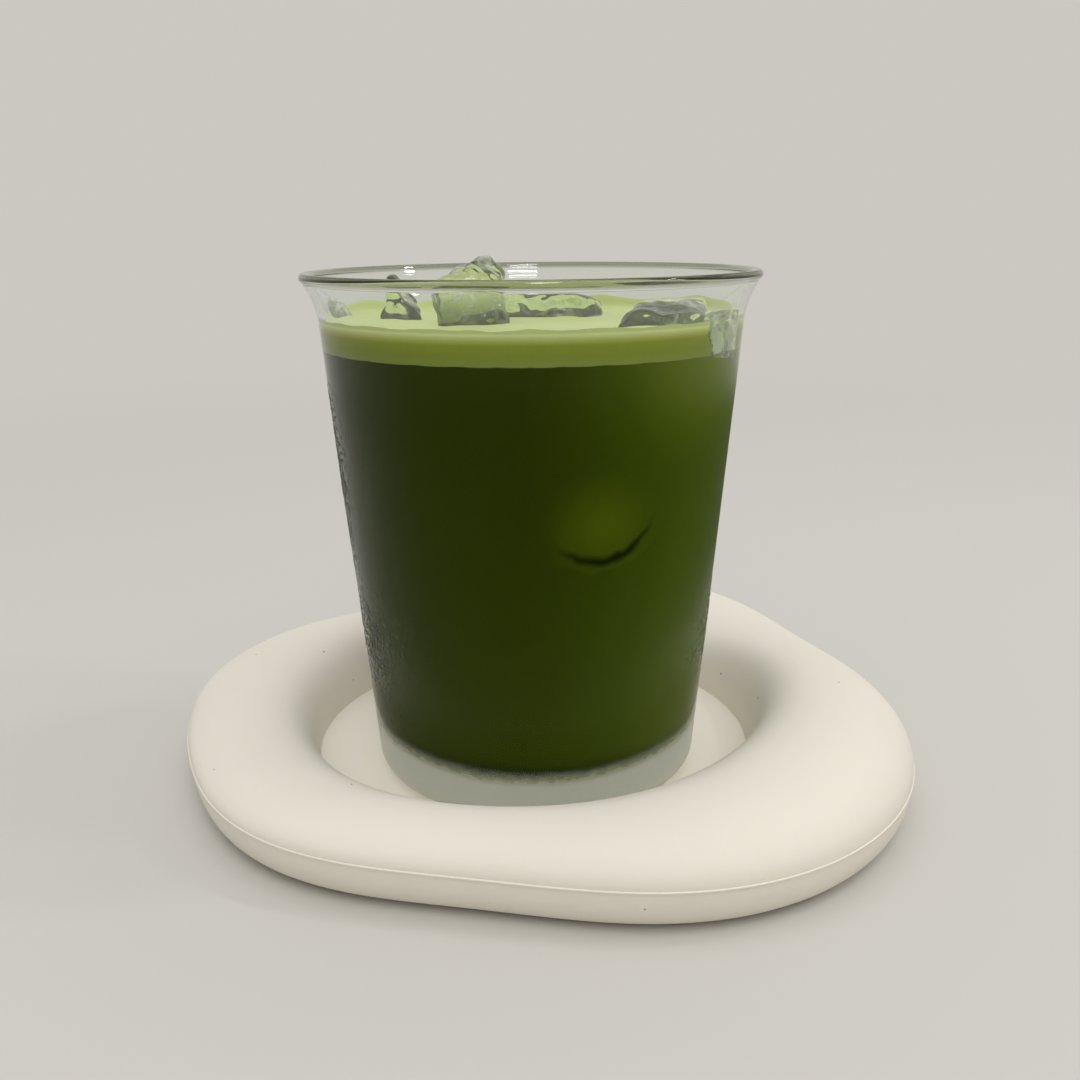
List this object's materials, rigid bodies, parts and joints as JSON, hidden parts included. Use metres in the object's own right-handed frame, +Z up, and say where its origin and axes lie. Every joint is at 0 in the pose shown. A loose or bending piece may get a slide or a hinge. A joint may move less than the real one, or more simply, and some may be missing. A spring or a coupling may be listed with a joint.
{
  "type": "iced matcha drink in a tumbler on a coaster",
  "caption": "Flared glass tumbler of dark green iced matcha with a lighter froth and ice standing out of it, in the well of a puffy three-lobed silicone coaster.",
  "frame": {"origin": "on the tumbler's axis at the plane that the coaster stands on", "axes": "+Z up, -Y towards the front, +X to the right"},
  "size_m": [0.1561, 0.1617, 0.1089],
  "materials": {
    "glass": "clear soda-lime glass",
    "drink": "dark green matcha",
    "froth": "light green froth",
    "ice": "wet clear ice",
    "silicone": "matt off-white silicone"
  },
  "bodies": {
    "root": {"glass": "glass", "drink": "drink", "froth": "froth", "ice_peak": "ice", "ice_left": "ice", "ice_side": "ice", "ice_back": "ice", "ice_slab": "ice", "ice_wall": "ice", "coaster": "silicone"}
  },
  "joints": []
}
